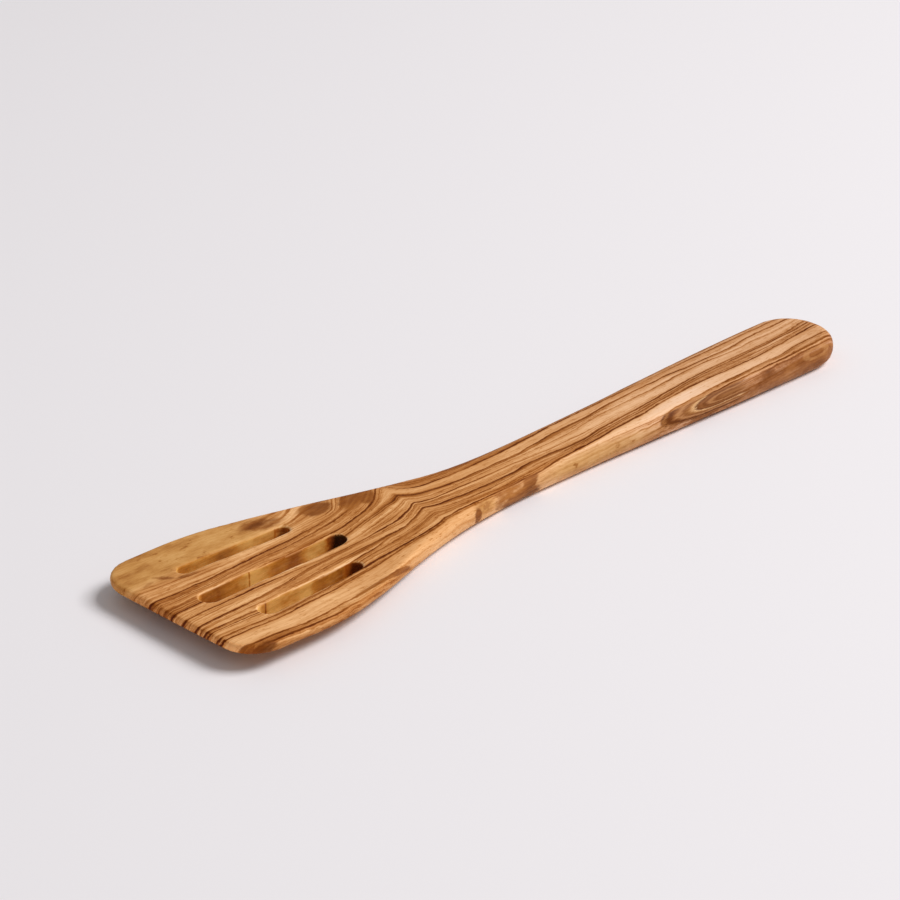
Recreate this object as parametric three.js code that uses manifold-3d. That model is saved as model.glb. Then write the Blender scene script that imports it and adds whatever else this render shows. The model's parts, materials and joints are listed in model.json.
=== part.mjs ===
// Slotted spatula: a wooden turner carved from one board, with three slots through its blade.
// Millimetres, +Z up. X runs from the blade's front edge to the end of the handle, Y across the tool.
// The origin lies on the table, under the middle of the tool's length.
import * as THREE from "three";
import Module from "manifold-3d";

// Blade, seen from above
const bladeWidth = 71.4;
const frontBowRadius = 1500; // the front edge bows forward a little
const frontCornerRadius = 12;
const bladeSideLength = 15.6; // straight stretch of each side, behind its front corner

// Shoulder: the S-curve from the blade's side to the neck
const shoulderLength = 118.2;
const shoulderBladePull = 38; // how far the curve keeps the blade's direction
const shoulderNeckPull = 58; // how far it keeps the neck's
const shoulderSway = 1.5; // the hand-cut board leans this far to +Y along its shoulder
const swayPlace = 75; // most of it this far behind the front edge
const swaySpread = 30;

// Neck and handle, seen from above
const neckWidth = 25;
const gripLength = 130; // from the narrowest place to the widest
const gripNeckPull = 43;
const gripEndPull = 43;
const handleWidth = 30.8;
const handleSideLength = 8; // straight stretch before the round end
const handleEndLength = 16;
const handleEndSidePull = 9.6; // how far the round end keeps the side's direction
const handleEndTipPull = 9; // and how far it is square to it

// Thickness of the board
const frontThickness = 3.7;
const bladeThickness = 3.9;
const neckThickness = 7.9;
const handleThickness = 10.2;
const bladeThinLength = 45; // the blade stays thin this far back
const bladeTaperLength = 69; // and reaches the neck's thickness over this length
const bellyDepth = 2.6; // the blade is this much thicker along its middle than at its sides
const bellyHalfWidth = 32;
const frontBevelLength = 16; // the fuller middle thins out towards the front edge

// The underside lies flat on the table along the handle, and rises towards the front edge
const frontLift = 4.8;
const liftLength = 131;
const bladeTwist = 0.5; // the front corner on the +Y side lies this much lower, the other one higher
const twistLength = 50;

// Rounding along the edges
const bladeTopEdge = 1;
const bladeUnderEdge = 2;
const handleTopEdge = 4;
const handleUnderEdge = 4.4;
const edgeShare = 0.45; // the most of the thickness that one rounded edge may take

// Slots, side by side. The left one is on the +Y side. They are cut by hand: each has its own place
// across the blade, measured from the middle line, and narrows from its front to its back.
const middleSlotOffset = 0.3;
const middleSlotLength = 59.6;
const middleSlotFrontWidth = 6.7;
const middleSlotBackWidth = 6.4;
const slotFrontMargin = 11.6; // from the front edge to the middle slot
const leftSlotOffset = 18.1;
const leftSlotLength = 44.4;
const leftSlotFrontWidth = 4.8;
const leftSlotBackWidth = 4.5;
const rightSlotOffset = 16.6;
const rightSlotLength = 43.6;
const rightSlotFrontWidth = 6.5;
const rightSlotBackWidth = 5.2;
const sideSlotSetback = 8.2; // the side slots end this far before the middle one
const slotTurn = 2.5; // degrees that the middle slot turns to the +Y side, towards the neck
const sideSlotTurn = 2.5; // degrees that the side slots turn in from there
const slotRimRadius = 0.4;

// Fineness of the facets
const edgeFacets = 3;
const rimFacets = 2;
const underColumns = [0, 0.4, 0.75]; // places across the underside, as shares of its half width
const cutPast = 0.5; // how far a slot's cutter reaches past the faces of the blade

const { lerp, smoothstep } = THREE.MathUtils;
const quarterTurn = Math.PI / 2;

// Lines up the curves of half an outline, from its front point on the middle line to its back one.
// Each station is a point with the direction that points out of the outline there.
function stationsAlong(curves) {
  const stations = [];
  curves.forEach(([curve, steps], number) => {
    for (let step = number === 0 ? 0 : 1; step <= steps; step++) {
      const point = curve.getPoint(step / steps);
      const tangent = curve.getTangent(step / steps);
      stations.push({ point, outward: new THREE.Vector2(-tangent.y, tangent.x) });
    }
  });
  return stations;
}

// Half the board's outline: front edge, corner, side, shoulder, grip and round end.
const bladeHalf = bladeWidth / 2;
const neckHalf = neckWidth / 2;
const handleHalf = handleWidth / 2;
const cornerY = bladeHalf - frontCornerRadius;
const cornerReach = frontBowRadius - frontCornerRadius;
const cornerX = frontBowRadius - Math.sqrt(cornerReach ** 2 - cornerY ** 2);
const shoulderX = cornerX + bladeSideLength;
const neckX = shoulderX + shoulderLength;
const gripX = neckX + gripLength;
const endX = gripX + handleSideLength;
const overallLength = endX + handleEndLength;

function boardOutline() {
  const at = (x, y) => new THREE.Vector2(x, y);
  const turn = Math.atan2(cornerY, frontBowRadius - cornerX);
  const front = new THREE.EllipseCurve(
    frontBowRadius, 0, frontBowRadius, frontBowRadius, Math.PI, Math.PI - turn, true);
  const corner = new THREE.EllipseCurve(
    cornerX, cornerY, frontCornerRadius, frontCornerRadius, Math.PI - turn, quarterTurn, true);
  const bladeSide = new THREE.LineCurve(at(cornerX, bladeHalf), at(shoulderX, bladeHalf));
  const shoulder = new THREE.CubicBezierCurve(
    at(shoulderX, bladeHalf),
    at(shoulderX + shoulderBladePull, bladeHalf),
    at(neckX - shoulderNeckPull, neckHalf),
    at(neckX, neckHalf));
  const grip = new THREE.CubicBezierCurve(
    at(neckX, neckHalf),
    at(neckX + gripNeckPull, neckHalf),
    at(gripX - gripEndPull, handleHalf),
    at(gripX, handleHalf));
  const handleSide = new THREE.LineCurve(at(gripX, handleHalf), at(endX, handleHalf));
  const end = new THREE.CubicBezierCurve(
    at(endX, handleHalf),
    at(endX + handleEndSidePull, handleHalf),
    at(overallLength, handleEndTipPull),
    at(overallLength, 0));
  return stationsAlong([
    [front, 6], [corner, 7], [bladeSide, 4], [shoulder, 26], [grip, 18], [handleSide, 2], [end, 10],
  ]);
}

// Half a slot's outline: straight sides that narrow towards the back, between round ends.
function slotOutline({ frontWidth, backWidth, length, backEnd }) {
  const frontRadius = frontWidth / 2;
  const backRadius = backWidth / 2;
  const frontX = backEnd - length + frontRadius;
  const backX = backEnd - backRadius;
  const front = new THREE.EllipseCurve(frontX, 0, frontRadius, frontRadius, Math.PI, quarterTurn, true);
  const side = new THREE.LineCurve(
    new THREE.Vector2(frontX, frontRadius), new THREE.Vector2(backX, backRadius));
  const back = new THREE.EllipseCurve(backX, 0, backRadius, backRadius, quarterTurn, 0, true);
  return stationsAlong([[front, 6], [side, 10], [back, 6]]);
}

// Where the board's middle line lies: straight, apart from the lean of the shoulder.
function boardMiddle(x) {
  const fromSway = (x - swayPlace) / swaySpread;
  return shoulderSway * Math.exp(-(fromSway ** 2));
}

// Heights of the board's two faces at a distance x behind the front edge.
const taperEndX = bladeThinLength + bladeTaperLength;
const edgeUnderside = (x) => frontLift * (1 - smoothstep(x, 0, liftLength));

function edgeThickness(x) {
  const thin = lerp(frontThickness, bladeThickness, smoothstep(x, 0, bladeThinLength));
  const body = lerp(thin, neckThickness, smoothstep(x, bladeThinLength, taperEndX));
  return lerp(body, handleThickness, smoothstep(x, taperEndX, overallLength));
}

function belly(x, y) {
  const across = (y - boardMiddle(x)) / bellyHalfWidth;
  const along = smoothstep(x, 0, frontBevelLength) * (1 - smoothstep(x, bladeThinLength, taperEndX));
  return bellyDepth * along * Math.max(0, 1 - across ** 2);
}

const twist = (x, y) => bladeTwist * (y / bladeHalf) * (1 - smoothstep(x, 0, twistLength));
const underside = (x, y) => edgeUnderside(x) - belly(x, y) - twist(x, y);
const topside = (x, y) => edgeUnderside(x) + edgeThickness(x) - twist(x, y);

// The board's rounded edge at a station, from the underside to the top.
// Each row is how far it stands out of the outline, and its height at the place where that ends up.
function boardEdge(stationX) {
  const handleShare = smoothstep(stationX, bladeThinLength, neckX);
  const most = edgeShare * edgeThickness(stationX);
  const under = Math.min(lerp(bladeUnderEdge, handleUnderEdge, handleShare), most);
  const upper = Math.min(lerp(bladeTopEdge, handleTopEdge, handleShare), most);
  const rows = [];
  for (let facet = 0; facet <= edgeFacets; facet++) {
    const angle = (facet / edgeFacets) * quarterTurn;
    const rise = under * (1 - Math.cos(angle));
    rows.push({ outset: -under * (1 - Math.sin(angle)), height: (x, y) => underside(x, y) + rise });
  }
  for (let facet = 0; facet <= edgeFacets; facet++) {
    const angle = (facet / edgeFacets) * quarterTurn;
    const drop = upper * (1 - Math.sin(angle));
    rows.push({ outset: -upper * (1 - Math.cos(angle)), height: (x, y) => topside(x, y) - drop });
  }
  return rows;
}

// The wall of a slot's cutter: it flares round the rims and runs on past both faces.
function slotEdge() {
  const firstAngle = quarterTurn / rimFacets;
  const flare = Math.sin(firstAngle) / (1 - Math.cos(firstAngle));
  const rim = [{ outset: slotRimRadius + cutPast * flare, depth: -cutPast }];
  for (let facet = 1; facet <= rimFacets; facet++) {
    const angle = facet * firstAngle;
    rim.push({
      outset: slotRimRadius * (1 - Math.sin(angle)),
      depth: slotRimRadius * (1 - Math.cos(angle)),
    });
  }
  const lower = rim.map(({ outset, depth }) => ({ outset, height: (x, y) => underside(x, y) + depth }));
  const upper = rim.map(({ outset, depth }) => ({ outset, height: (x, y) => topside(x, y) - depth }));
  return [...lower, ...upper.reverse()];
}

const wasm = await Module();
wasm.setup();

// A closed solid from half an outline and the rows of its edge, mirrored about its middle line.
// Its first and last stations lie on that line, so there both halves share their points.
// The columns are further points across its underside, from the middle line out to the edge.
function solidFrom(stations, edgeAt, middleAt, columns) {
  const positions = [];
  const triangles = [];
  const add = (x, offset, height) => {
    const y = middleAt(x) + offset;
    positions.push(x, y, height(x, y));
    return positions.length / 3 - 1;
  };
  const grid = stations.map(({ point, outward }, number) => {
    const onMiddle = number === 0 || number === stations.length - 1;
    const rows = edgeAt(point.x).map(({ outset, height }) => ({
      x: point.x + outward.x * outset,
      offset: onMiddle ? 0 : point.y + outward.y * outset,
      height,
    }));
    const innermost = rows[0];
    const across = onMiddle ? [] : columns;
    const line = [...across.map((share) => ({ ...innermost, offset: share * innermost.offset })), ...rows];
    const left = line.map(({ x, offset, height }) => add(x, offset, height));
    const right = line.map(({ x, offset, height }, k) => (offset === 0 ? left[k] : add(x, -offset, height)));
    const padding = columns.length - across.length;
    const pad = (list) => [...Array(padding).fill(list[0]), ...list];
    return { left: pad(left), right: pad(right) };
  });
  const triangle = (a, b, c) => {
    if (a !== b && b !== c && c !== a) triangles.push(a, b, c);
  };
  const quad = (a, b, c, d) => {
    triangle(a, b, c);
    triangle(a, c, d);
  };
  for (let i = 0; i + 1 < grid.length; i++) {
    const here = grid[i];
    const next = grid[i + 1];
    const last = here.left.length - 1;
    for (let row = 0; row < last; row++) {
      quad(here.left[row], here.left[row + 1], next.left[row + 1], next.left[row]);
      quad(here.right[row], next.right[row], next.right[row + 1], here.right[row + 1]);
    }
    quad(here.right[last], next.right[last], next.left[last], here.left[last]);
    quad(here.left[0], next.left[0], next.right[0], here.right[0]);
  }
  return new wasm.Manifold(new wasm.Mesh({
    numProp: 3,
    vertProperties: new Float32Array(positions),
    triVerts: new Uint32Array(triangles),
  }));
}

// The slots, from the +Y side to the other.
const middleSlotBackEnd = slotFrontMargin + middleSlotLength;
const sideSlotBackEnd = middleSlotBackEnd - sideSlotSetback;
const slots = [
  {
    offset: leftSlotOffset,
    turn: slotTurn - sideSlotTurn,
    frontWidth: leftSlotFrontWidth,
    backWidth: leftSlotBackWidth,
    length: leftSlotLength,
    backEnd: sideSlotBackEnd,
  },
  {
    offset: middleSlotOffset,
    turn: slotTurn,
    frontWidth: middleSlotFrontWidth,
    backWidth: middleSlotBackWidth,
    length: middleSlotLength,
    backEnd: middleSlotBackEnd,
  },
  {
    offset: -rightSlotOffset,
    turn: slotTurn + sideSlotTurn,
    frontWidth: rightSlotFrontWidth,
    backWidth: rightSlotBackWidth,
    length: rightSlotLength,
    backEnd: sideSlotBackEnd,
  },
];

function slotCutter(slot) {
  const middleX = slot.backEnd - slot.length / 2;
  const slope = Math.tan(THREE.MathUtils.degToRad(slot.turn));
  const slotMiddle = (x) => slot.offset + slope * (x - middleX);
  return solidFrom(slotOutline(slot), slotEdge, slotMiddle, []);
}

function spatulaGeometry() {
  let solid = solidFrom(boardOutline(), boardEdge, boardMiddle, underColumns);
  for (const slot of slots) {
    solid = solid.subtract(slotCutter(slot));
  }
  const cut = solid.getMesh();
  const geometry = new THREE.BufferGeometry();
  geometry.setAttribute("position", new THREE.BufferAttribute(cut.vertProperties, 3));
  geometry.setIndex(new THREE.BufferAttribute(cut.triVerts, 1));
  geometry.computeVertexNormals();
  return geometry;
}

const oliveWood = new THREE.MeshStandardMaterial({ color: 0xb47d4c, roughness: 0.5, metalness: 0 });

const spatula = new THREE.Mesh(spatulaGeometry(), oliveWood);
spatula.name = "spatula";
spatula.position.x = -overallLength / 2;

const tool = new THREE.Group();
tool.add(spatula);

export default tool;
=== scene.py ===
"""Looks of the slotted spatula: one carved olive wood board on a pale floor, in soft light.

Lengths on the object are written in millimetres and become metres where Blender takes them.
x runs from the blade's front edge to the handle's end, y across to the far side, z up.
"""
import json
import math
from types import SimpleNamespace

import bpy
import numpy as np
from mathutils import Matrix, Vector


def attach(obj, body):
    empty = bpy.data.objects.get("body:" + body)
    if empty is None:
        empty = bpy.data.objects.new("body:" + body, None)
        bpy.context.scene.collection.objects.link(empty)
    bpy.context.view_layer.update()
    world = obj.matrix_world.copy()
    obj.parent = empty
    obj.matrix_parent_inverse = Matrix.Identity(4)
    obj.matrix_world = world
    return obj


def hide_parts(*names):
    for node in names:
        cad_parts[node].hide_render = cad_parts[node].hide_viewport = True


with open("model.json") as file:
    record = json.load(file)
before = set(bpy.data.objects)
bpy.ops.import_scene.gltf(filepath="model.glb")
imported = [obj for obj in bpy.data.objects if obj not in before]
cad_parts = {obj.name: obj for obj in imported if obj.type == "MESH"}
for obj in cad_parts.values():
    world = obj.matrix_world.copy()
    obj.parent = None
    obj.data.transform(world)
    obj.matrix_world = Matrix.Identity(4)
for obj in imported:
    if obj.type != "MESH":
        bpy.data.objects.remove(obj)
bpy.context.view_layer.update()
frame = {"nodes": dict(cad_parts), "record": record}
scene = bpy.context.scene

MM = 0.001

# Mesh of the carved board: its fineness, how often it is smoothed, and how deep hand sanding goes
VOXEL = 0.6
SMOOTHING_PASSES = 2
SANDING_DEPTH = 0.08

# Waves of the hand sanding: how far each turns per millimetre along x, y and z, and where it starts
SANDING_WAVES = (
    (1 / 7.3, 1 / 9.1, 0, 0),
    (1 / 12.7, -1 / 6.7, 0, 1.3),
    (1 / 4.9, 0, 1 / 3.1, 2.1),
)

# Places along x at which the height of the board's top is taken
HEIGHT_PLACES = np.arange(-152, 153, 2.0)

# Growth lines on the top face, from the far side to the near side. Each row holds how dark the line
# is on the blade, shoulder, neck, handle and its end, how pale the wood on its near side is at the same
# places, and the points (x, y) that the line runs through.
STATIONS = (-115, -60, 0, 70, 135)
GROWTH_LINES = (
    ((0, 0, 0, 0, 0), (0.5, 0.5, 0.5, 0.5, 0.5), ((-152, 60), (152, 50))),
    ((0, 0, 0, 0, 0), (0.6, 0.55, 0.5, 0.5, 0.5), ((-152, 40), (-60, 36), (0, 26), (152, 26))),
    ((0.1, 0.2, 0.2, 0.2, 0.2), (0.62, 0.52, 0.5, 0.6, 0.6),
     ((-152, 26), (-130, 25), (-100, 23), (-85, 24.5), (-75, 29), (-60, 31), (-40, 22), (-20, 19),
      (152, 20))),
    ((0.1, 0.3, 0.3, 0.2, 0.2), (0.58, 0.62, 0.5, 0.64, 0.66),
     ((-152, 15.5), (-135, 14), (-120, 13.4), (-100, 14.2), (-85, 15), (-74, 15.4), (-70, 16.4),
      (-67, 19.5), (-63, 24), (-58, 28), (-50, 24.5), (-40, 19), (-20, 16), (152, 17.5))),
    ((0.7, 0.35, 0.3, 0.25, 0.25), (0.45, 0.48, 0.5, 0.66, 0.68),
     ((-152, 7.7), (-130, 7.6), (-115, 9), (-100, 10.7), (-80, 12.2), (-72, 13.4), (-68, 15),
      (-64, 18.5), (-60, 22), (-52, 21), (-45, 16.5), (-38, 14), (-20, 12.4), (20, 12.8), (70, 13.6),
      (110, 14.4), (152, 15.2))),
    ((0.35, 0.4, 0.35, 0.4, 0.4), (0.48, 0.46, 0.48, 0.55, 0.6),
     ((-152, 3.6), (-130, 4.2), (-120, 5.6), (-110, 7.2), (-100, 8), (-85, 9.2), (-73, 10.7),
      (-66, 12.6), (-60, 15.4), (-54, 17), (-48, 14.6), (-42, 12), (-36, 11), (-20, 10.4), (20, 10.8),
      (70, 11.6), (110, 12.2), (152, 13))),
    ((0.3, 0.8, 0.7, 0.6, 0.5), (0.5, 0.52, 0.74, 0.62, 0.68),
     ((-152, 1.2), (-130, 2), (-110, 3.6), (-95, 4.3), (-80, 5.2), (-72, 6.4), (-63, 8.4), (-58, 10),
      (-54, 12), (-51, 13), (-48.5, 12.2), (-46.5, 10.6), (-44, 8.9), (-40, 7.6), (-32, 7.3), (-20, 7.1),
      (5, 7.6), (18, 8.7), (35, 9.3), (90, 10), (152, 10.8))),
    ((0.8, 0.5, 0.6, 0.8, 0.7), (0.64, 0.54, 0.47, 0.68, 0.7),
     ((-152, -2.5), (-138, -2.2), (-110, -0.8), (-80, 0.6), (-72, 2.4), (-63, 4.4), (-56, 5.4),
      (-51, 5), (-48, 4.2), (-45, 3.6), (-40, 3.4), (-23, 2.7), (-10, 2.75), (-5, 2.4), (10, 3.75),
      (20, 5), (35, 5.3), (45, 6.5), (77, 7.1), (88, 6.4), (110, 6.4), (121, 7.6), (152, 8.2))),
    ((0.1, 0.35, 0.3, 0.55, 0.3), (0.62, 0.56, 0.7, 0.74, 0.72),
     ((-152, -4.2), (-110, -3), (-80, -2.6), (-72, -1.2), (-63, 0.3), (-56, 1.4), (-51, 1.9), (-48, 1),
      (-45, 0.7), (-40, 0.8), (-30, 0.9), (0, 0.6), (15, 0.8), (25, 1.4), (32, 2.4), (45, 3.2),
      (68, 3.6), (88, 4.6), (105, 4), (130, 4.4), (152, 6.4))),
    ((0.8, 0.9, 0.45, 0.1, 0.1), (0.6, 0.56, 0.78, 0.78, 0.7),
     ((-152, -7.6), (-140, -6.9), (-130, -6.6), (-117, -6), (-100, -5.3), (-84, -5.2), (-71, -4.5),
      (-63, -3.9), (-55, -2.5), (-48, -1.6), (-40, -1.5), (-30, -1.1), (-20, -1.4), (-12, -1.3),
      (-4, -1.8), (15, -2.6), (30, -2.2), (50, -0.9), (90, 1.2), (115, 1.5), (130, 2), (152, 5))),
    ((0.7, 0.4, 0.1, 0.1, 0.1), (0.57, 0.62, 0.56, 0.66, 0.64),
     ((-152, -13.2), (-140, -12.5), (-124, -11.3), (-115, -10), (-105, -7.8), (-95, -6.4), (-86, -6),
      (-71, -5.6), (-60, -4.9), (-50, -3), (-40, -2.9), (-10, -3), (5, -3.4), (20, -3.9), (30, -3.2),
      (50, -1.7), (70, -0.4), (90, 0.6), (115, 0.9), (130, 1.3), (152, 4.4))),
    ((0.35, 0.8, 0.85, 0.75, 0.65), (0.62, 0.54, 0.45, 0.53, 0.54),
     ((-152, -15.2), (-130, -14.2), (-110, -11.8), (-100, -10.5), (-90, -9.3), (-80, -8.8), (-63, -8.5),
      (-57, -7), (-50, -5.6), (-42, -5.7), (-28, -5.8), (-15, -6), (-5, -5.1), (5, -4.8), (15, -5.5),
      (22, -5.6), (30, -4.5), (40, -3.6), (53, -2.75), (75, -0.75), (90, 0), (115, 0.25), (130, 0.75),
      (144, 3), (152, 3.8))),
    ((0.7, 0.55, 0.35, 0.3, 0.5), (0.55, 0.6, 0.66, 0.52, 0.52),
     ((-152, -17.1), (-130, -17), (-110, -15.2), (-87, -12.6), (-78, -11.5), (-72, -10.3), (-65, -9.5),
      (-57, -8.3), (-50, -7.5), (-40, -8.5), (-25, -8.7), (-5, -7.5), (20, -7), (30, -5.9), (60, -3.4),
      (90, -1.2), (115, -0.8), (130, -0.4), (152, 2))),
    ((0.6, 0.4, 0.35, 0.3, 0.4), (0.58, 0.52, 0.47, 0.53, 0.58),
     ((-152, -18.4), (-131, -18.4), (-110, -17.2), (-87, -14.6), (-78, -13.2), (-68, -12.5),
      (-60, -11.6), (-50, -10), (-40, -10.4), (-25, -10.3), (-10, -9.6), (0, -8.9), (30, -7), (60, -4.5),
      (90, -2.4), (115, -2.3), (130, -1.8), (152, 0.4))),
    ((0.6, 0.9, 0.95, 0.78, 0.65), (0.55, 0.55, 0.84, 0.9, 0.64),
     ((-152, -22.3), (-130, -22.8), (-110, -20.8), (-100, -19.2), (-87, -17.8), (-80, -17), (-65, -16.1),
      (-57, -15.2), (-49, -14.2), (-42, -12.9), (-35, -12.4), (-15, -11.4), (-5, -11.2), (5, -10.2),
      (15, -9.5), (25, -9), (35, -8), (48, -7.2), (60, -5.7), (68, -5), (83, -4.6), (108, -5),
      (118, -4.4), (130, -3.5), (152, -2))),
    ((0.85, 0.7, 0.15, 0.7, 0.6), (0.7, 0.68, 0.75, 0.58, 0.54),
     ((-152, -24), (-140, -24.3), (-130, -24.6), (-122, -24), (-105, -22), (-91, -20.4), (-80, -19),
      (-72, -17.6), (-57, -16.1), (-49, -15), (-42, -13.7), (-30, -13), (-15, -12.2), (-5, -11.9),
      (10, -11.6), (30, -11.9), (55, -12.3), (62, -11.6), (72, -11), (90, -10.3), (117, -10.2),
      (126, -9), (152, -8))),
    ((0.75, 0.1, 0.1, 0.7, 0.7), (0.56, 0.75, 0.78, 0.62, 0.54),
     ((-152, -31), (-135, -31.5), (-125, -32.4), (-107, -30.2), (-95, -28.8), (-80, -25.6), (-70, -23.2),
      (-55, -20.4), (-42, -18), (-20, -15.5), (0, -14), (55, -13.9), (75, -12.9), (95, -12.4),
      (117, -12.6), (130, -12), (152, -10.4))),
    ((0.6, 0.05, 0.05, 0.4, 0.5), (0.54, 0.75, 0.78, 0.55, 0.5),
     ((-152, -33.6), (-135, -34.4), (-120, -34.6), (-100, -31.6), (-85, -28.6), (-70, -25.2),
      (-55, -22.4), (-40, -20), (-20, -17.5), (0, -16.4), (55, -16), (90, -14.6), (130, -13.8),
      (152, -12.4))),
    ((0.35, 0.1, 0.1, 0.4, 0.4), (0.52, 0.64, 0.66, 0.5, 0.5),
     ((-152, -36.5), (-120, -37), (-100, -34.5), (-70, -28.5), (-40, -22.5), (0, -19), (60, -18.4),
      (120, -16.6), (152, -14.6))),
    ((0, 0, 0, 0, 0), (0.45, 0.6, 0.6, 0.5, 0.5), ((-152, -46), (-60, -36), (0, -26), (152, -22))),
)

# Half the width over which one layer's colour turns into the next
SOFT_BORDER = 0.7

# How slowly the layers' running number may grow, as a share of one layer in one layer's width
LEAST_GROWTH = 0.05

# The layers lean across the board as they go down, and all kink where the blade meets the neck
LEAN = 0.65
KINK_PLACE = -49.5
KINK_LENGTH = 4.5
KINK_HEIGHT = 3.0
KINK_GROWTH = 0.13
KINK_TIP = 0.5

# Patches of another colour, as ellipses: centre, half lengths, turn in degrees and strength.
# Those on the top face are placed by x and y, those on the near side by x and z. They fade in
# between two shares of their half lengths.
PATCH_FADE = (1.4, 0.4)
TOP_KNOTS = (
    (-92.0, 25.5, 8.0, 4.4, -10, 0.76),
    (-73.5, 20.5, 6.0, 4.6, -10, 1.0),
    (-69.0, 25.0, 4.5, 2.6, -30, 0.9),
    (-62.0, 16.5, 7.0, 4.2, 40, 0.9),
    (-56.5, 14.6, 5.5, 3.6, 40, 1.0),
    (-147.5, -32.2, 2.6, 1.8, 0, 1.2),
    (-144.0, -35.2, 5.0, 2.4, 0, 0.95),
    (-86.0, -27.4, 17.0, 0.8, 7, 1.35),
    (-137.0, 17.5, 4.6, 1.3, -45, 0.62),
    (-144.0, 17.0, 4.0, 1.2, 25, 0.55),
    (-131.0, 14.2, 5.0, 1.2, -10, 0.55),
)
NEAR_KNOTS = (
    (-36.0, 4.0, 2.0, 3.2, 0, 0.85),
    (-20.0, 5.6, 9.0, 4.8, 0, 0.62),
    (-14.0, 2.6, 9.5, 3.2, 0, 1.3),
    (-10.5, 5.5, 2.6, 8.0, -54, 1.0),
    (121.0, 5.2, 34.0, 4.6, 0, 0.9),
)
NEAR_SAPWOOD = (
    (21.5, 5.0, 30.0, 3.3, 0, 1.0),
    (-32.0, 6.0, 5.0, 2.6, 0, 0.8),
)

# The sapwood of the blade's far front corner: from where it begins to where it is full
CORNER_SAPWOOD_Y = (13.0, 21.5)
CORNER_SAPWOOD_X = (-80, -104)

# Nested pale and dark loops on the near side of the handle: centre x and z, half length and half
# height. They rise towards the back, have a sharp edge, and end along x.
LOOPS = (84.0, 6.4, 33.0, 4.2)
LOOPS_RISE = 0.025
LOOPS_EDGE = (0.0, 0.03)
LOOPS_END_X = (100, 88)

# A small pale ring near the handle's end, in the same order, and where it fades inwards and outwards
RING = (131.5, 7.9, 8.0, 2.1)
RING_INSIDE = (0.3, 0.6)
RING_OUTSIDE = (1.15, 0.85)

# How far past its openings a slot's wall and rim reach, along x and y
SLOT_MARGIN_X = 4.0
SLOT_MARGIN_Y = 2.5

# Where along each slot its wall has a saw mark, and how pale the wall is at places along it.
# All places outside the slots count as far from a mark.
FAR_FROM_MARK = 50.0
SAW_MARKS = {"left": -90.5, "middle": -116.0, "right": -125.5}
WALL_PALENESS = {
    "left": ((-131, 0), (-119, 0.1), (-113, -0.22), (-107, -0.18), (-101, 0.38), (-92, 0.1), (-90, 0.25)),
    "middle": ((-138, -0.2), (-129, -0.36), (-126, -0.08), (-121, -0.12), (-114, 0.36), (-109, 0.22),
               (-104, -0.14), (-96, -0.44), (-91, 0.1)),
    "right": ((-131, -0.25), (-129, 0.15), (-126, 0), (-122, 0.42), (-118, 0.2), (-113, 0.1), (-108, 0.32),
              (-101, -0.15)),
}

# How much paler the round front ends of the slots are than their long walls
SLOT_FRONT_PALENESS = 0.3

# Burnt wood at the back ends of the slots: how strong, how far behind the last opening its middle
# lies, how far it reaches, and where it fades
SCORCH = {"left": 0.42, "middle": 1.1, "right": 0.68}
SCORCH_BEHIND = 2.0
SCORCH_LENGTH = 6.5
SCORCH_WIDTH = 5.0
SCORCH_FADE = (1.15, 0.5)

# Which way the surface faces, and where along x, for it to count as the near side, a slot's wall, a slot's
# rim that gets a painted highlight, the front of a slot or end grain: from where it begins to where it fully
# is
NEAR_SIDE_FACING = (-0.3, -0.65)
NEAR_SIDE_X = (-80, -70)
SLOT_WALL_FACING = (0.75, 0.35)
RIM_HIGHLIGHT_TOP = (0.98, 0.85)
RIM_HIGHLIGHT_FOOT = (0.3, 0.55)
SLOT_FRONT_FACING = (0.1, 0.5)
END_GRAIN_FACING = (-0.25, -0.7)
END_GRAIN_X = (-140, -146)

# Noises of the wood: how fine each is along its three directions, its detail and its roughness.
# Those of the layers also have a height in millimetres, and those of the grain run across the
# growth layers, along x and up. The others run along x, y and z, per metre.
LAYER_WAVES = (
    (1.5, (22, 60, 60), 3.0, 0.55),
    (1.2, (110, 240, 240), 3.0, 0.6),
    (0.7, (420, 800, 800), 2.0, 0.6),
)
GRAIN_NOISES = {
    "breaks": ((1, 55, 30), 3.0, 0.6),
    "smear": ((1.1, 30, 60), 3.0, 0.6),
    "streak": ((3, 14, 90), 4.0, 0.6),
    "fine": ((8, 26, 160), 3.0, 0.6),
    "thread": ((22, 40, 300), 2.0, 0.6),
}
PLACE_NOISES = {
    "fibre": ((260, 2600, 2600), 3.0, 0.65),
    "pore": ((380, 1900, 1900), 2.0, 0.5),
    "cloud": ((70, 130, 130), 4.0, 0.6),
    "fleck": ((150, 320, 320), 3.0, 0.65),
    "bend": ((160, 160, 400), 3.0, 0.6),
    "rag": ((130, 280, 280), 4.0, 0.65),
    "mottle": ((120, 120, 200), 4.0, 0.6),
    "blotch": ((500, 500, 500), 3.0, 0.6),
}

# Half the width of the growth lines: that of the darkest ones, and how much the breaks add
LINE_HALF_WIDTH = 0.45
LINE_BREAKS = 0.5

# How far the shade beside a line reaches, and how much sooner it ends on the line's far side
SHADE_WIDTH = 2.4
SHADE_FAR_SIDE = 4.0

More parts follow.
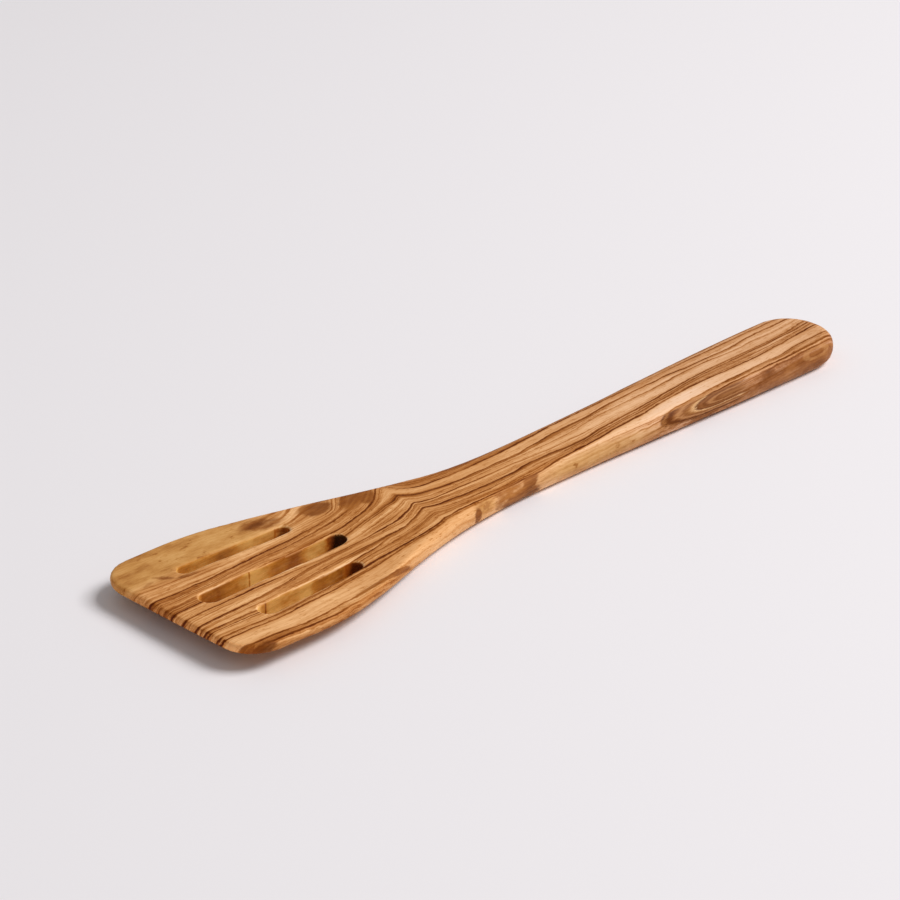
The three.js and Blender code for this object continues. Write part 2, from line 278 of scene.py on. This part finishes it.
# Colours as screen values from 0 to 255, with their places where several make one scale
WOOD_COLOURS = (
    (0.0, (92, 36, 2)), (0.2, (130, 68, 14)), (0.4, (169, 102, 44)),
    (0.6, (207, 145, 86)), (0.8, (238, 184, 128)), (1.0, (254, 209, 162)))
SAPWOOD_COLOURS = ((0.25, (160, 100, 42)), (0.5, (198, 142, 78)), (0.75, (220, 170, 106)))
KNOT_COLOURS = ((0.2, (92, 40, 6)), (0.5, (138, 76, 26)), (0.8, (178, 112, 48)))
SLOT_WALL_COLOURS = ((0.15, (146, 74, 10)), (0.5, (200, 128, 46)), (0.85, (238, 182, 98)))
SCORCH_COLOURS = (
    (0.3, (190, 104, 28)), (0.55, (150, 70, 16)), (0.75, (104, 42, 12)), (0.95, (46, 14, 4)))
RING_COLOUR = (206, 142, 72)
FLOOR_COLOUR = (238, 235, 238)

# Colours of the nested loops from the outermost to the innermost
LOOP_COLOURS = (
    (0.0, (98, 48, 10)), (0.03, (122, 66, 20)), (0.06, (166, 104, 46)), (0.1, (112, 58, 16)),
    (0.17, (98, 46, 10)), (0.22, (144, 84, 34)), (0.28, (184, 124, 66)), (0.36, (136, 78, 30)),
    (0.44, (168, 108, 50)), (0.49, (226, 170, 100)), (0.54, (104, 50, 12)), (0.62, (144, 86, 36)),
    (0.68, (112, 58, 18)), (0.76, (178, 118, 60)), (0.83, (122, 66, 22)), (1.0, (160, 102, 48)))

# Tints that the wood's colour is multiplied by: on the front edge's end grain; a painted sheen that makes
# the handle paler and cooler; and a painted reflection of the pale floor that makes the handle's near side
# paler and bluer. The painted sheen comes in along x, here in metres.
END_GRAIN_TINT = (1.32, 1.18, 1.02, 1.0)
HANDLE_SHEEN_TINT = (0.94, 1.0, 1.26, 1.0)
HANDLE_SIDE_REFLECTION_TINT = (1.06, 1.12, 1.38, 1.0)
HANDLE_SHEEN_X = (-0.05, 0.1)

# Floor, light and camera, in metres and degrees
FLOOR_HALF = 3.0
WORLD_COLOUR = (1.0, 0.985, 0.98, 1.0)
WORLD_STRENGTH = 0.33
LAMP_PLACE = (1.54, -1.32, 2.35)
LAMP_SIZE = 1.5
LAMP_POWER = 92.0
LAMP_COLOUR = (1.0, 0.99, 0.985)
CAMERA_PLACE = (-0.63338, -0.60415, 0.43556)
CAMERA_DOWN = 25.936
CAMERA_TURN = -44.765
CAMERA_LENS = 120
CAMERA_SENSOR = 36


def smooth_curve(points, at):
    """Heights at the given places of a smooth curve through the points, with no overshoot."""
    places, heights = np.array(points, float).T
    step = np.diff(places)
    slope = np.diff(heights) / step
    product = slope[:-1] * slope[1:]
    total = slope[:-1] + slope[1:]
    inner = np.where(product > 0, 2 * product / np.where(total == 0, 1, total), 0)
    tangent = np.concatenate([slope[:1], inner, slope[-1:]])
    k = np.clip(np.searchsorted(places, at) - 1, 0, len(step) - 1)
    t = (at - places[k]) / step[k]
    rise = (3 - 2 * t) * t * t
    return (heights[k] * (1 - rise) + heights[k + 1] * rise
            + step[k] * t * (1 - t) * (tangent[k] * (1 - t) - tangent[k + 1] * t))


def ease(low, high, value):
    """0 at low and 1 at high, with a soft start and end."""
    t = np.clip((value - low) / (high - low), 0, 1)
    return t * t * (3 - 2 * t)


def carved_board():
    """An even, finely meshed and sanded copy of the solid, to carry the wood's detail."""
    board = bpy.data.objects.new("carved_board", frame["nodes"]["spatula"].data.copy())
    scene.collection.objects.link(board)
    remesh = board.modifiers.new("even_mesh", "REMESH")
    remesh.mode = "VOXEL"
    remesh.voxel_size = VOXEL * MM
    smooth = board.modifiers.new("smoothing", "SMOOTH")
    smooth.iterations = SMOOTHING_PASSES
    ready = board.evaluated_get(bpy.context.evaluated_depsgraph_get())
    mesh = bpy.data.meshes.new_from_object(ready)
    board.modifiers.clear()
    board.data = mesh
    mesh.materials.clear()
    mesh.shade_smooth()
    return board


def vertex_data(mesh):
    """Places in millimetres and outward directions of the mesh's vertices."""
    count = len(mesh.vertices)
    place = np.zeros(count * 3, np.float32)
    normal = np.zeros(count * 3, np.float32)
    mesh.vertices.foreach_get("co", place)
    mesh.vertices.foreach_get("normal", normal)
    return place.reshape(-1, 3).astype(float) / MM, normal.reshape(-1, 3).astype(float)


def sand_by_hand(mesh):
    """Takes off a little more wood in some places than in others, as hand sanding does."""
    place, normal = vertex_data(mesh)
    x, y, z = place.T
    waves = sum(np.sin(x * by_x + y * by_y + z * by_z + begin) for by_x, by_y, by_z, begin in SANDING_WAVES)
    depth = SANDING_DEPTH * (1 + waves / len(SANDING_WAVES)) / 2
    place = (place - normal * depth[:, None]) * MM
    mesh.vertices.foreach_set("co", place.astype(np.float32).ravel())
    mesh.update()


def top_height(x, z):
    """Height of the board's top at each place along it."""
    first, second = HEIGHT_PLACES[:2]
    index = np.clip(np.round((x - first) / (second - first)).astype(int), 0, len(HEIGHT_PLACES) - 1)
    highest = np.zeros(len(HEIGHT_PLACES))
    np.maximum.at(highest, index, z)
    known = highest > 0
    return np.interp(x, HEIGHT_PLACES[known], highest[known])


def layer_place(place):
    """Where across the top face each point's growth layer comes out, in millimetres."""
    x, y, z = place.T
    across = y - LEAN * (top_height(x, z) - z)
    beside = np.sqrt((x - KINK_PLACE) ** 2 + KINK_TIP ** 2)
    return across - (KINK_HEIGHT + KINK_GROWTH * across) * np.exp(-beside / KINK_LENGTH)


def layers(x, across):
    """Running number of the growth layer at each point, and the layer's width there."""
    lines = np.stack([smooth_curve(points, x) for _, _, points in GROWTH_LINES])
    count = len(lines)
    gap = lines[:-1] - lines[1:]
    rate = 1 / gap
    inner = 2 * rate[:-1] * rate[1:] / (rate[:-1] + rate[1:])
    tangent = np.concatenate([rate[:1], inner, rate[-1:]])
    k = np.clip((lines > across).sum(0) - 1, 0, count - 2)[None]

    def pick(table, index):
        return np.take_along_axis(table, index, 0)[0]

    width = pick(gap, k)
    t = np.clip((pick(lines, k) - across) / width, 0, 1)
    start, end = pick(tangent, k) * width, pick(tangent, k + 1) * width
    number = k[0] + (3 - 2 * t) * t * t + t * (1 - t) * (start * (1 - t) - end * t)
    growth = 6 * t * (1 - t) + start * (1 - t) * (1 - 3 * t) + end * t * (3 * t - 2)
    return number, width / np.maximum(growth, LEAST_GROWTH)


def by_station(column, x, number, width):
    """A growth line's value at each point, eased over to the next line's half a layer further on."""
    table = np.stack([np.interp(x, STATIONS, row[column]) for row in GROWTH_LINES])
    index = np.clip(np.floor(number).astype(int), 0, len(table) - 2)
    half = np.minimum(SOFT_BORDER / width, 0.5)
    share = ease(0.5 - half, 0.5 + half, number - index)
    here = np.take_along_axis(table, index[None], 0)[0]
    after = np.take_along_axis(table, index[None] + 1, 0)[0]
    return here + (after - here) * share


def patches(ellipses, along, aside):
    """How much of the given patches there is at each point."""
    amount = np.zeros(len(along))
    for centre, side, half_length, half_width, turn, strength in ellipses:
        c, s = math.cos(math.radians(turn)), math.sin(math.radians(turn))
        u = ((along - centre) * c + (aside - side) * s) / half_length
        v = ((aside - side) * c - (along - centre) * s) / half_width
        amount = np.maximum(amount, strength * ease(*PATCH_FADE, np.hypot(u, v)))
    return amount


def loops(x, z):
    """How deep each point of the near side lies in its nested loops, from 0 outside to 1."""
    centre, height, half_length, half_height = LOOPS
    middle = height + LOOPS_RISE * (x - centre + half_length)
    before = np.minimum(x - centre, 0) / half_length
    return np.clip(1 - np.hypot(before, (z - middle) / half_height), 0, 1)


def ring(x, z):
    """The pale ring near the handle's end."""
    centre, height, half_length, half_height = RING
    distance = np.hypot((x - centre) / half_length, (z - height) / half_height)
    return ease(*RING_INSIDE, distance) * ease(*RING_OUTSIDE, distance)


def slot_openings():
    """The slot that each opening belongs to, with the opening's lowest and highest corner."""
    for opening in frame["record"]["physics"]["openings"]:
        low, high = np.array(opening["box_m"]) / MM
        yield opening["name"].split("_")[0], low, high


def near_slots(x, y):
    """Which points lie in or close around the slots, how far behind the saw mark, and how pale."""
    inside = np.zeros(len(x), bool)
    behind_mark = np.full(len(x), FAR_FROM_MARK)
    tone = np.zeros(len(x))
    for slot, low, high in slot_openings():
        here = (x > low[0] - SLOT_MARGIN_X) & (x < high[0] + SLOT_MARGIN_X)
        here &= (y > low[1] - SLOT_MARGIN_Y) & (y < high[1] + SLOT_MARGIN_Y)
        inside |= here
        behind_mark[here] = x[here] - SAW_MARKS[slot]
        tone[here] = np.interp(x[here], *np.transpose(WALL_PALENESS[slot]))
    return inside, behind_mark, tone


def scorch(x, y):
    """Burnt wood around the back ends of the slots, each the last of its slot's openings."""
    last = {slot: (low, high) for slot, low, high in slot_openings()}
    amount = np.zeros(len(x))
    for slot, (low, high) in last.items():
        along = (x - high[0] - SCORCH_BEHIND) / SCORCH_LENGTH
        aside = (y - (low[1] + high[1]) / 2) / SCORCH_WIDTH
        amount = np.maximum(amount, SCORCH[slot] * ease(*SCORCH_FADE, np.hypot(along, aside)))
    return amount


def paint_grain(mesh):
    """Writes the wood's growth layers and patches onto the mesh for its material to read."""
    place, normal = vertex_data(mesh)
    x, y, z = place.T
    across = layer_place(place)
    number, width = layers(x, across)
    slot_zone, behind_mark, wall_tone = near_slots(x, y)
    faces_x, faces_y, faces_z = normal.T
    wall = slot_zone * ease(*SLOT_WALL_FACING, np.abs(faces_z))
    # The slots' rounded rims, where the wood is made paler as a painted highlight
    rim_highlight = slot_zone * ease(*RIM_HIGHLIGHT_TOP, faces_z) * ease(*RIM_HIGHLIGHT_FOOT, faces_z)
    near_side = ease(*NEAR_SIDE_FACING, faces_y) * ease(*NEAR_SIDE_X, x)
    top_knots = (1 - near_side) * patches(TOP_KNOTS, x, across)
    corner = ease(*CORNER_SAPWOOD_Y, across) * ease(*CORNER_SAPWOOD_X, x)
    depth = loops(x, z)
    values = {
        "layer": number,
        "layer_width": width,
        "line_strength": by_station(0, x, number, width),
        "paleness": by_station(1, x, number - 0.5, width),
        "sapwood": np.maximum(corner, near_side * patches(NEAR_SAPWOOD, x, z)),
        "knot": np.maximum(top_knots, near_side * patches(NEAR_KNOTS, x, z)),
        "loop_depth": depth,
        "loop_share": near_side * ease(*LOOPS_EDGE, depth) * ease(*LOOPS_END_X, x),
        "pale_ring": near_side * ring(x, z),
        "near_side": near_side,
        "slot_wall": wall,
        "wall_tone": wall_tone + SLOT_FRONT_PALENESS * ease(*SLOT_FRONT_FACING, faces_x),
        "behind_mark": behind_mark,
        "slot_rim_highlight": rim_highlight,
        "end_grain": ease(*END_GRAIN_FACING, faces_x) * ease(*END_GRAIN_X, x),
        "scorch": wall * scorch(x, y),
    }
    for name, value in values.items():
        mesh.attributes.new(name, "FLOAT", "POINT").data.foreach_set("value", value.astype(np.float32))


def linear(red, green, blue):
    """A colour as Blender's nodes take it, from its 0 to 255 screen values."""
    parts = [c / 255 for c in (red, green, blue)]
    return [c / 12.92 if c <= 0.04045 else ((c + 0.055) / 1.055) ** 2.4 for c in parts] + [1.0]


class NodeTree:
    """Short ways to add and link the nodes of one material."""

    def __init__(self, material):
        material.use_nodes = True
        self.tree = material.node_tree
        self.tree.nodes.clear()

    def add(self, kind, inputs=None, **settings):
        """A new node with the given settings, its inputs linked or set."""
        node = self.tree.nodes.new(kind)
        for name, value in settings.items():
            setattr(node, name, value)
        for socket, value in (inputs or {}).items():
            if isinstance(value, bpy.types.NodeSocket):
                self.tree.links.new(value, node.inputs[socket])
            else:
                node.inputs[socket].default_value = value
        return node

    def calc(self, operation, first, second=0.0, third=0.0):
        """The result of one calculation."""
        return self.add("ShaderNodeMath", {0: first, 1: second, 2: third}, operation=operation).outputs[0]

    def attribute(self, name):
        """A value that paint_grain wrote onto the mesh."""
        return self.add("ShaderNodeAttribute", attribute_name=name).outputs["Fac"]

    def vector(self, x, y, z):
        """Three values as one vector."""
        return self.add("ShaderNodeCombineXYZ", {0: x, 1: y, 2: z}).outputs[0]

    def noise(self, vector, scales, detail, roughness):
        """A noise around one half, as fine in each direction as the scales say."""
        stretched = self.add("ShaderNodeVectorMath", {0: vector, 1: scales}, operation="MULTIPLY").outputs[0]
        inputs = {"Vector": stretched, "Scale": 1.0, "Detail": detail, "Roughness": roughness}
        return self.add("ShaderNodeTexNoise", inputs).outputs["Fac"]

    def ease(self, value, low, high, start=0.0, end=1.0):
        """A soft step from start, where the value is low, to end, where it is high."""
        inputs = {"Value": value, 1: low, 2: high, 3: start, 4: end}
        return self.add("ShaderNodeMapRange", inputs, interpolation_type="SMOOTHSTEP").outputs[0]

    def vary(self, value, noise, amount):
        """The value, moved up or down with a noise that lies around one half."""
        return self.calc("MULTIPLY_ADD", self.calc("SUBTRACT", noise, 0.5), amount, value)

    def mix(self, share, first, second, kind="MIX"):
        """The first colour, with a share of the second mixed in."""
        node = self.add("ShaderNodeMix", {0: share, 6: first, 7: second}, data_type="RGBA", blend_type=kind)
        return node.outputs[2]

    def ramp(self, value, stops):
        """The colour that the value has on a scale of colours."""
        node = self.add("ShaderNodeValToRGB", {0: value})
        elements = node.color_ramp.elements
        while len(elements) < len(stops):
            elements.new(0.5)
        for element, (position, colour) in zip(elements, stops):
            element.position = position
            element.color = linear(*colour)
        return node.outputs[0]

    def surface(self, inputs):
        """The material's surface."""
        shader = self.add("ShaderNodeBsdfPrincipled", inputs)
        self.add("ShaderNodeOutputMaterial", {0: shader.outputs[0]})


def wood_figure(nodes):
    """What all colours of the wood share: its growth layers and its noises."""
    place = nodes.add("ShaderNodeTexCoord").outputs["Object"]
    x, _, z = nodes.add("ShaderNodeSeparateXYZ", {0: place}).outputs
    width = nodes.attribute("layer_width")
    waves = 0.0
    for height, *settings in LAYER_WAVES:
        waves = nodes.vary(waves, nodes.noise(place, *settings), height)
    layer = nodes.calc("ADD", nodes.attribute("layer"), nodes.calc("DIVIDE", waves, width))
    grain = nodes.vector(layer, x, z)
    figure = SimpleNamespace(x=x, layer=layer, width=width, end_grain=nodes.attribute("end_grain"))
    for name, settings in GRAIN_NOISES.items():
        setattr(figure, name, nodes.noise(grain, *settings))
    for name, settings in PLACE_NOISES.items():
        setattr(figure, name, nodes.noise(place, *settings))
    figure.pores = nodes.ease(figure.pore, 0.58, 0.7)
    figure.core, figure.shade = growth_lines(nodes, figure)
    return figure


def growth_lines(nodes, figure):
    """The dark core of the growth lines, and the softer shade on their near side."""
    calc = nodes.calc
    stronger = calc("MULTIPLY_ADD", figure.end_grain, 0.6, 1.0)
    strength = calc("MULTIPLY", nodes.attribute("line_strength"), stronger)
    beside = calc("MULTIPLY", calc("SUBTRACT", figure.layer, calc("ROUND", figure.layer)), figure.width)
    breaks = calc("MULTIPLY", figure.breaks, LINE_BREAKS)
    half_width = calc("MULTIPLY_ADD", strength, LINE_HALF_WIDTH, breaks)
    core = nodes.ease(calc("DIVIDE", calc("ABSOLUTE", beside), half_width), 0.05, 1.0, 1.0, 0.0)
    core = calc("MULTIPLY", core, calc("MULTIPLY", strength, nodes.ease(figure.breaks, 0.25, 0.6, 0.5, 1.0)))
    reach = calc("MAXIMUM", beside, calc("MULTIPLY", beside, -SHADE_FAR_SIDE))
    shade = calc("MULTIPLY", nodes.ease(reach, 0.0, SHADE_WIDTH, 1.0, 0.0), strength)
    return core, shade


def plain_wood(nodes, figure):
    """The wood between its patches: lines, smears, streaks, fibres, short open pores, and a painted
    highlight on the slots' rims.
    """
    paleness = nodes.attribute("paleness")
    unrest = 0.06
    for noise, amount in ((figure.streak, 0.8), (figure.smear, 0.7), (figure.thread, 0.5)):
        unrest = nodes.vary(unrest, noise, amount)
    unrest = nodes.calc("MULTIPLY_ADD", nodes.ease(figure.fine, 0.48, 0.66), -0.22, unrest)
    calmer = nodes.ease(paleness, 0.57, 0.7, 1.0, 0.36)
    tone = nodes.calc("MULTIPLY_ADD", unrest, calmer, paleness)
    for noise, amount in ((figure.fibre, 0.18), (figure.cloud, 0.14)):
        tone = nodes.vary(tone, noise, amount)
    # A painted highlight along the slots' rims, where they would catch the lamp
    rim_highlight = nodes.attribute("slot_rim_highlight")
    for mark, amount in ((figure.pores, -0.16), (figure.shade, -0.18), (figure.core, -0.57), (rim_highlight, 0.24)):
        tone = nodes.calc("MULTIPLY_ADD", mark, amount, tone)
    return nodes.ramp(tone, WOOD_COLOURS)


def with_sapwood(nodes, figure, wood):
    """Yellow sapwood, with the streaks showing through faintly."""
    tone = nodes.vary(nodes.vary(figure.cloud, figure.streak, 0.6), figure.fibre, 0.4)
    flecks = nodes.ease(figure.fleck, 0.58, 0.7)
    for mark, amount in ((flecks, -0.3), (figure.core, -0.3)):
        tone = nodes.calc("MULTIPLY_ADD", mark, amount, tone)
    return nodes.mix(nodes.attribute("sapwood"), wood, nodes.ramp(tone, SAPWOOD_COLOURS))


def with_loops(nodes, figure, wood):
    """The nested loops of the near side."""
    uneven = nodes.vary(figure.bend, figure.fibre, 0.5)
    depth = nodes.vary(nodes.vary(nodes.attribute("loop_depth"), uneven, 0.12), figure.thread, 0.2)
    return nodes.mix(nodes.attribute("loop_share"), wood, nodes.ramp(depth, LOOP_COLOURS))


def with_knots(nodes, figure, wood):
    """Brown knots with ragged edges, and the pale ring."""
    knot = nodes.attribute("knot")
    tone = nodes.vary(nodes.vary(figure.cloud, figure.streak, 0.7), figure.fibre, 0.3)
    ragged = nodes.vary(nodes.vary(knot, figure.streak, 0.9), figure.rag, 1.4)
    share = nodes.calc("MULTIPLY", nodes.ease(ragged, 0.2, 0.8, 0.0, 0.9), nodes.ease(knot, 0.0, 0.2))
    wood = nodes.mix(share, wood, nodes.ramp(tone, KNOT_COLOURS))
    pale_ring = nodes.attribute("pale_ring")
    ragged = nodes.ease(nodes.vary(pale_ring, figure.rag, 1.8), 0.4, 1.2, 0.0, 0.45)
    return nodes.mix(nodes.calc("MULTIPLY", ragged, pale_ring), wood, linear(*RING_COLOUR))


def with_slot_walls(nodes, figure, wood):
    """Slot walls: golden, mottled, with their saw marks, and burnt at their back ends."""
    slot_wall = nodes.attribute("slot_wall")
    tone = nodes.calc("ADD", nodes.attribute("wall_tone"), 0.5)
    for noise, amount in ((figure.fibre, 0.4), (figure.mottle, 1.0)):
        tone = nodes.vary(tone, noise, amount)
    mark = nodes.ease(nodes.calc("ABSOLUTE", nodes.attribute("behind_mark")), 0.15, 0.5, 1.0, 0.0)
    tone = nodes.calc("MULTIPLY_ADD", mark, -0.45, tone)
    golden = nodes.ramp(tone, SLOT_WALL_COLOURS)
    wood = nodes.mix(nodes.calc("MULTIPLY", slot_wall, 0.85), wood, golden)
    burnt = nodes.vary(nodes.attribute("scorch"), figure.blotch, 0.6)
    share = nodes.calc("MULTIPLY", nodes.ease(burnt, 0.1, 0.5, 0.0, 0.95), slot_wall)
    return nodes.mix(share, wood, nodes.ramp(burnt, SCORCH_COLOURS))


def tinted(nodes, figure, wood):
    """The front edge's end grain paler, a painted sheen making the handle cooler, and a painted floor
    reflection greying its near side.
    """
    # Painted sheen on the handle, coming in along x
    handle_sheen = nodes.ease(figure.x, *HANDLE_SHEEN_X)
    handle_side_reflection = nodes.calc("MULTIPLY", nodes.attribute("near_side"), handle_sheen)
    wood = nodes.mix(figure.end_grain, wood, END_GRAIN_TINT, "MULTIPLY")
    wood = nodes.mix(handle_sheen, wood, HANDLE_SHEEN_TINT, "MULTIPLY")
    # Painted reflection of the floor on the handle's near side
    return nodes.mix(handle_side_reflection, wood, HANDLE_SIDE_REFLECTION_TINT, "MULTIPLY")


def oiled_surface(nodes, figure, wood):
    """A satin surface of the given colour, with fine fibres, pores and slightly sunken lines."""
    rough = nodes.calc("MULTIPLY_ADD", figure.core, 0.08, nodes.vary(0.46, figure.streak, 0.22))
    dents = figure.fibre
    for mark, depth in ((figure.core, -0.5), (figure.pores, -0.6)):
        dents = nodes.calc("MULTIPLY_ADD", mark, depth, dents)
    bump = nodes.add("ShaderNodeBump", {"Height": dents, "Strength": 0.2, "Distance": 0.25 * MM})
    nodes.surface({
        "Base Color": wood, "Roughness": rough, "Normal": bump.outputs[0], "Specular IOR Level": 0.05})


def olive_wood():
    """Oiled olive wood, from its plain grain to the patches and tints that lie over it."""
    material = bpy.data.materials.new("olive_wood")
    nodes = NodeTree(material)
    figure = wood_figure(nodes)
    wood = plain_wood(nodes, figure)
    for change in (with_sapwood, with_loops, with_knots, with_slot_walls, tinted):
        wood = change(nodes, figure, wood)
    oiled_surface(nodes, figure, wood)
    return material


def pale_floor():
    """The plain pale floor that the spatula lies on."""
    half = FLOOR_HALF
    corners = [(-half, -half, 0), (half, -half, 0), (half, half, 0), (-half, half, 0)]
    mesh = bpy.data.meshes.new("floor")
    mesh.from_pydata(corners, [], [(0, 1, 2, 3)])
    floor = bpy.data.objects.new("floor", mesh)
    scene.collection.objects.link(floor)
    material = bpy.data.materials.new("pale_floor")
    NodeTree(material).surface({
        "Base Color": linear(*FLOOR_COLOUR), "Roughness": 0.55, "Specular IOR Level": 0.2})
    mesh.materials.append(material)


def studio_light():
    """Soft light from all round, and a large square lamp above the handle's end."""
    world = bpy.data.worlds.new("studio")
    scene.world = world
    world.use_nodes = True
    background = world.node_tree.nodes["Background"].inputs
    background["Color"].default_value = WORLD_COLOUR
    background["Strength"].default_value = WORLD_STRENGTH
    lamp = bpy.data.lights.new("key", "AREA")
    lamp.size = LAMP_SIZE
    lamp.energy = LAMP_POWER
    lamp.color = LAMP_COLOUR
    holder = bpy.data.objects.new("key", lamp)
    holder.location = LAMP_PLACE
    holder.rotation_euler = (-Vector(LAMP_PLACE)).to_track_quat("-Z", "Y").to_euler()
    scene.collection.objects.link(holder)


def photo_camera():
    """The camera at the photograph's angle, for a square picture."""
    camera = bpy.data.cameras.new("photo_camera")
    camera.sensor_width = CAMERA_SENSOR
    camera.lens = CAMERA_LENS
    holder = bpy.data.objects.new("photo_camera", camera)
    holder.location = CAMERA_PLACE
    holder.rotation_euler = (math.radians(90 - CAMERA_DOWN), 0, math.radians(CAMERA_TURN))
    scene.collection.objects.link(holder)
    scene.camera = holder


board = carved_board()
sand_by_hand(board.data)
paint_grain(board.data)
board.data.materials.append(olive_wood())
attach(board, "root")
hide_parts("spatula")

pale_floor()
studio_light()
photo_camera()
scene.view_settings.view_transform = "Standard"
